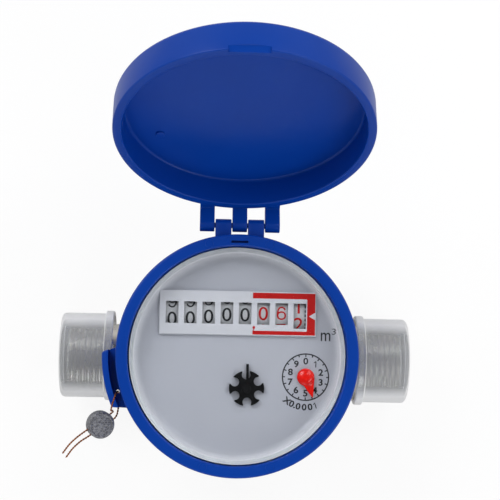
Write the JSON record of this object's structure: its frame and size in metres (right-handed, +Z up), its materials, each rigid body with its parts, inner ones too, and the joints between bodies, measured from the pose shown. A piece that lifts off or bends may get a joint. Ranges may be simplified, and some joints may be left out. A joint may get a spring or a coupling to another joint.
{
  "type": "water meter",
  "caption": "Single-jet water meter: turned casting with threaded ends under protectors, sealed dial register in a shroud with a hinged lid, lead seal on a wire.",
  "frame": {"origin": "centre of the flat foot under the chamber, on the dial's axis", "axes": "+X along the pipe from inlet to outlet, +Y towards the lid's hinge, +Z up through the dial"},
  "size_m": [0.115, 0.1272, 0.1217],
  "materials": {
    "nickel_plated_brass": "nickel-plated, tumbled satin",
    "blue_plastic": "moulded, semi-gloss",
    "white_plastic": "moulded, satin",
    "grey_plastic": "moulded",
    "black_plastic": "moulded",
    "red_plastic": "moulded, glossy",
    "frosted_polythene": "translucent, blown skin",
    "clear_lens": "polished",
    "rubber": "matt",
    "silicone": "matt, translucent",
    "ferrite": "ground",
    "steel": "drawn",
    "lead": "cast, crimped",
    "copper": "drawn"
  },
  "bodies": {
    "root": {"meter_body": "nickel_plated_brass", "inlet_strainer": "white_plastic", "impeller_shaft": "steel", "chamber_seal": "rubber", "separating_plate": "grey_plastic", "register_can": "grey_plastic", "gear_plate": "grey_plastic", "drum_frame": "grey_plastic", "drum_shaft": "steel", "pinion_shaft": "steel", "dial_plate": "white_plastic", "lens_gasket": "silicone", "lens": "clear_lens", "lock_ring": "blue_plastic", "hinge_pin": "steel", "lead_seal": "lead", "seal_wire": "copper"},
    "impeller": {"impeller": "white_plastic", "impeller_magnet": "ferrite"},
    "follower": {"follower_magnet": "ferrite", "centre_arbor": "steel"},
    "star": {"star_gear": "grey_plastic", "flow_star": "black_plastic"},
    "middle": {"middle_gear": "grey_plastic"},
    "pointer": {"pointer_gear": "grey_plastic", "red_pointer": "red_plastic"},
    "worm": {"worm_gear": "grey_plastic"},
    "wheel_1": {"number_wheel_1": "white_plastic"},
    "wheel_2": {"number_wheel_2": "white_plastic"},
    "wheel_3": {"number_wheel_3": "white_plastic"},
    "wheel_4": {"number_wheel_4": "white_plastic"},
    "wheel_5": {"number_wheel_5": "white_plastic"},
    "wheel_6": {"number_wheel_6": "white_plastic"},
    "wheel_7": {"number_wheel_7": "white_plastic"},
    "wheel_8": {"number_wheel_8": "white_plastic"},
    "transfer_1": {"transfer_pinion_1": "grey_plastic"},
    "transfer_2": {"transfer_pinion_2": "grey_plastic"},
    "transfer_3": {"transfer_pinion_3": "grey_plastic"},
    "transfer_4": {"transfer_pinion_4": "grey_plastic"},
    "transfer_5": {"transfer_pinion_5": "grey_plastic"},
    "transfer_6": {"transfer_pinion_6": "grey_plastic"},
    "transfer_7": {"transfer_pinion_7": "grey_plastic"},
    "lid": {"lid": "blue_plastic"},
    "inlet_protector": {"inlet_cap": "frosted_polythene"},
    "outlet_protector": {"outlet_cap": "frosted_polythene"}
  },
  "joints": [
    {"name": "impeller_spin", "type": "hinge", "parent": "root", "child": "impeller", "pos_m": [0, 0, 0.0135], "axis": [0, 0, 1], "continuous": true},
    {"name": "follower_spin", "type": "hinge", "parent": "root", "child": "follower", "pos_m": [0, 0, 0.0325], "axis": [0, 0, 1], "continuous": true},
    {"name": "star_spin", "type": "hinge", "parent": "root", "child": "star", "pos_m": [0.00318, -0.01006, 0.044], "axis": [0, 0, 1], "continuous": true},
    {"name": "middle_spin", "type": "hinge", "parent": "root", "child": "middle", "pos_m": [0.01292, -0.01234, 0.04], "axis": [0, 0, 1], "continuous": true},
    {"name": "pointer_spin", "type": "hinge", "parent": "root", "child": "pointer", "pos_m": [0.0216, -0.0062, 0.0325], "axis": [0, 0, 1], "continuous": true},
    {"name": "worm_spin", "type": "hinge", "parent": "root", "child": "worm", "pos_m": [0.02408, 0.0055, 0.0413], "axis": [0, 0, 1], "continuous": true},
    {"name": "wheel_8_spin", "type": "hinge", "parent": "root", "child": "wheel_8", "pos_m": [0.01944, 0.0133, 0.0413], "axis": [1, 0, 0], "continuous": true},
    {"name": "wheel_7_spin", "type": "hinge", "parent": "root", "child": "wheel_7", "pos_m": [0.01372, 0.0133, 0.0413], "axis": [1, 0, 0], "continuous": true},
    {"name": "wheel_6_spin", "type": "hinge", "parent": "root", "child": "wheel_6", "pos_m": [0.00801, 0.0133, 0.0413], "axis": [1, 0, 0], "continuous": true},
    {"name": "wheel_5_spin", "type": "hinge", "parent": "root", "child": "wheel_5", "pos_m": [0.00231, 0.0133, 0.0413], "axis": [1, 0, 0], "continuous": true},
    {"name": "wheel_4_spin", "type": "hinge", "parent": "root", "child": "wheel_4", "pos_m": [-0.00341, 0.0133, 0.0413], "axis": [1, 0, 0], "continuous": true},
    {"name": "wheel_3_spin", "type": "hinge", "parent": "root", "child": "wheel_3", "pos_m": [-0.00911, 0.0133, 0.0413], "axis": [1, 0, 0], "continuous": true},
    {"name": "wheel_2_spin", "type": "hinge", "parent": "root", "child": "wheel_2", "pos_m": [-0.01482, 0.0133, 0.0413], "axis": [1, 0, 0], "continuous": true},
    {"name": "wheel_1_spin", "type": "hinge", "parent": "root", "child": "wheel_1", "pos_m": [-0.02054, 0.0133, 0.0413], "axis": [1, 0, 0], "continuous": true},
    {"name": "transfer_7_spin", "type": "hinge", "parent": "root", "child": "transfer_7", "pos_m": [0.01663, 0.01985, 0.03428], "axis": [1, 0, 0], "continuous": true},
    {"name": "transfer_6_spin", "type": "hinge", "parent": "root", "child": "transfer_6", "pos_m": [0.01091, 0.01985, 0.03428], "axis": [1, 0, 0], "continuous": true},
    {"name": "transfer_5_spin", "type": "hinge", "parent": "root", "child": "transfer_5", "pos_m": [0.00521, 0.01985, 0.03428], "axis": [1, 0, 0], "continuous": true},
    {"name": "transfer_4_spin", "type": "hinge", "parent": "root", "child": "transfer_4", "pos_m": [-0.00051, 0.01985, 0.03428], "axis": [1, 0, 0], "continuous": true},
    {"name": "transfer_3_spin", "type": "hinge", "parent": "root", "child": "transfer_3", "pos_m": [-0.00622, 0.01985, 0.03428], "axis": [1, 0, 0], "continuous": true},
    {"name": "transfer_2_spin", "type": "hinge", "parent": "root", "child": "transfer_2", "pos_m": [-0.01192, 0.01985, 0.03428], "axis": [1, 0, 0], "continuous": true},
    {"name": "transfer_1_spin", "type": "hinge", "parent": "root", "child": "transfer_1", "pos_m": [-0.01764, 0.01985, 0.03428], "axis": [1, 0, 0], "continuous": true},
    {"name": "lid_hinge", "type": "hinge", "parent": "root", "child": "lid", "pos_m": [0, 0.0406, 0.0539], "axis": [1, 0, 0], "range_deg": [0, 117]},
    {"name": "inlet_cap_slide", "type": "slide", "parent": "root", "child": "inlet_protector", "axis": [-1, 0, 0], "range_m": [0, 0.04]},
    {"name": "outlet_cap_slide", "type": "slide", "parent": "root", "child": "outlet_protector", "axis": [1, 0, 0], "range_m": [0, 0.04]}
  ],
  "couplings": [
    {"joint": "follower_spin", "follows": "impeller_spin", "ratio": 1},
    {"joint": "star_spin", "follows": "impeller_spin", "ratio": -0.3125},
    {"joint": "middle_spin", "follows": "impeller_spin", "ratio": 0.10417},
    {"joint": "pointer_spin", "follows": "impeller_spin", "ratio": -0.034722},
    {"joint": "worm_spin", "follows": "impeller_spin", "ratio": 0.069444},
    {"joint": "wheel_8_spin", "follows": "impeller_spin", "ratio": -0.0034722},
    {"joint": "wheel_7_spin", "follows": "impeller_spin", "ratio": -0.00034722},
    {"joint": "wheel_6_spin", "follows": "impeller_spin", "ratio": -0.000034722},
    {"joint": "wheel_5_spin", "follows": "impeller_spin", "ratio": -0.0000034722},
    {"joint": "wheel_4_spin", "follows": "impeller_spin", "ratio": -0.00000034722},
    {"joint": "wheel_3_spin", "follows": "impeller_spin", "ratio": -0.000000034722},
    {"joint": "wheel_2_spin", "follows": "impeller_spin", "ratio": -0.0000000034722},
    {"joint": "wheel_1_spin", "follows": "impeller_spin", "ratio": -0.00000000034722},
    {"joint": "transfer_7_spin", "follows": "impeller_spin", "ratio": 0.0011574},
    {"joint": "transfer_6_spin", "follows": "impeller_spin", "ratio": 0.00011574},
    {"joint": "transfer_5_spin", "follows": "impeller_spin", "ratio": 0.000011574},
    {"joint": "transfer_4_spin", "follows": "impeller_spin", "ratio": 0.0000011574},
    {"joint": "transfer_3_spin", "follows": "impeller_spin", "ratio": 0.00000011574},
    {"joint": "transfer_2_spin", "follows": "impeller_spin", "ratio": 0.000000011574},
    {"joint": "transfer_1_spin", "follows": "impeller_spin", "ratio": 0.0000000011574}
  ]
}
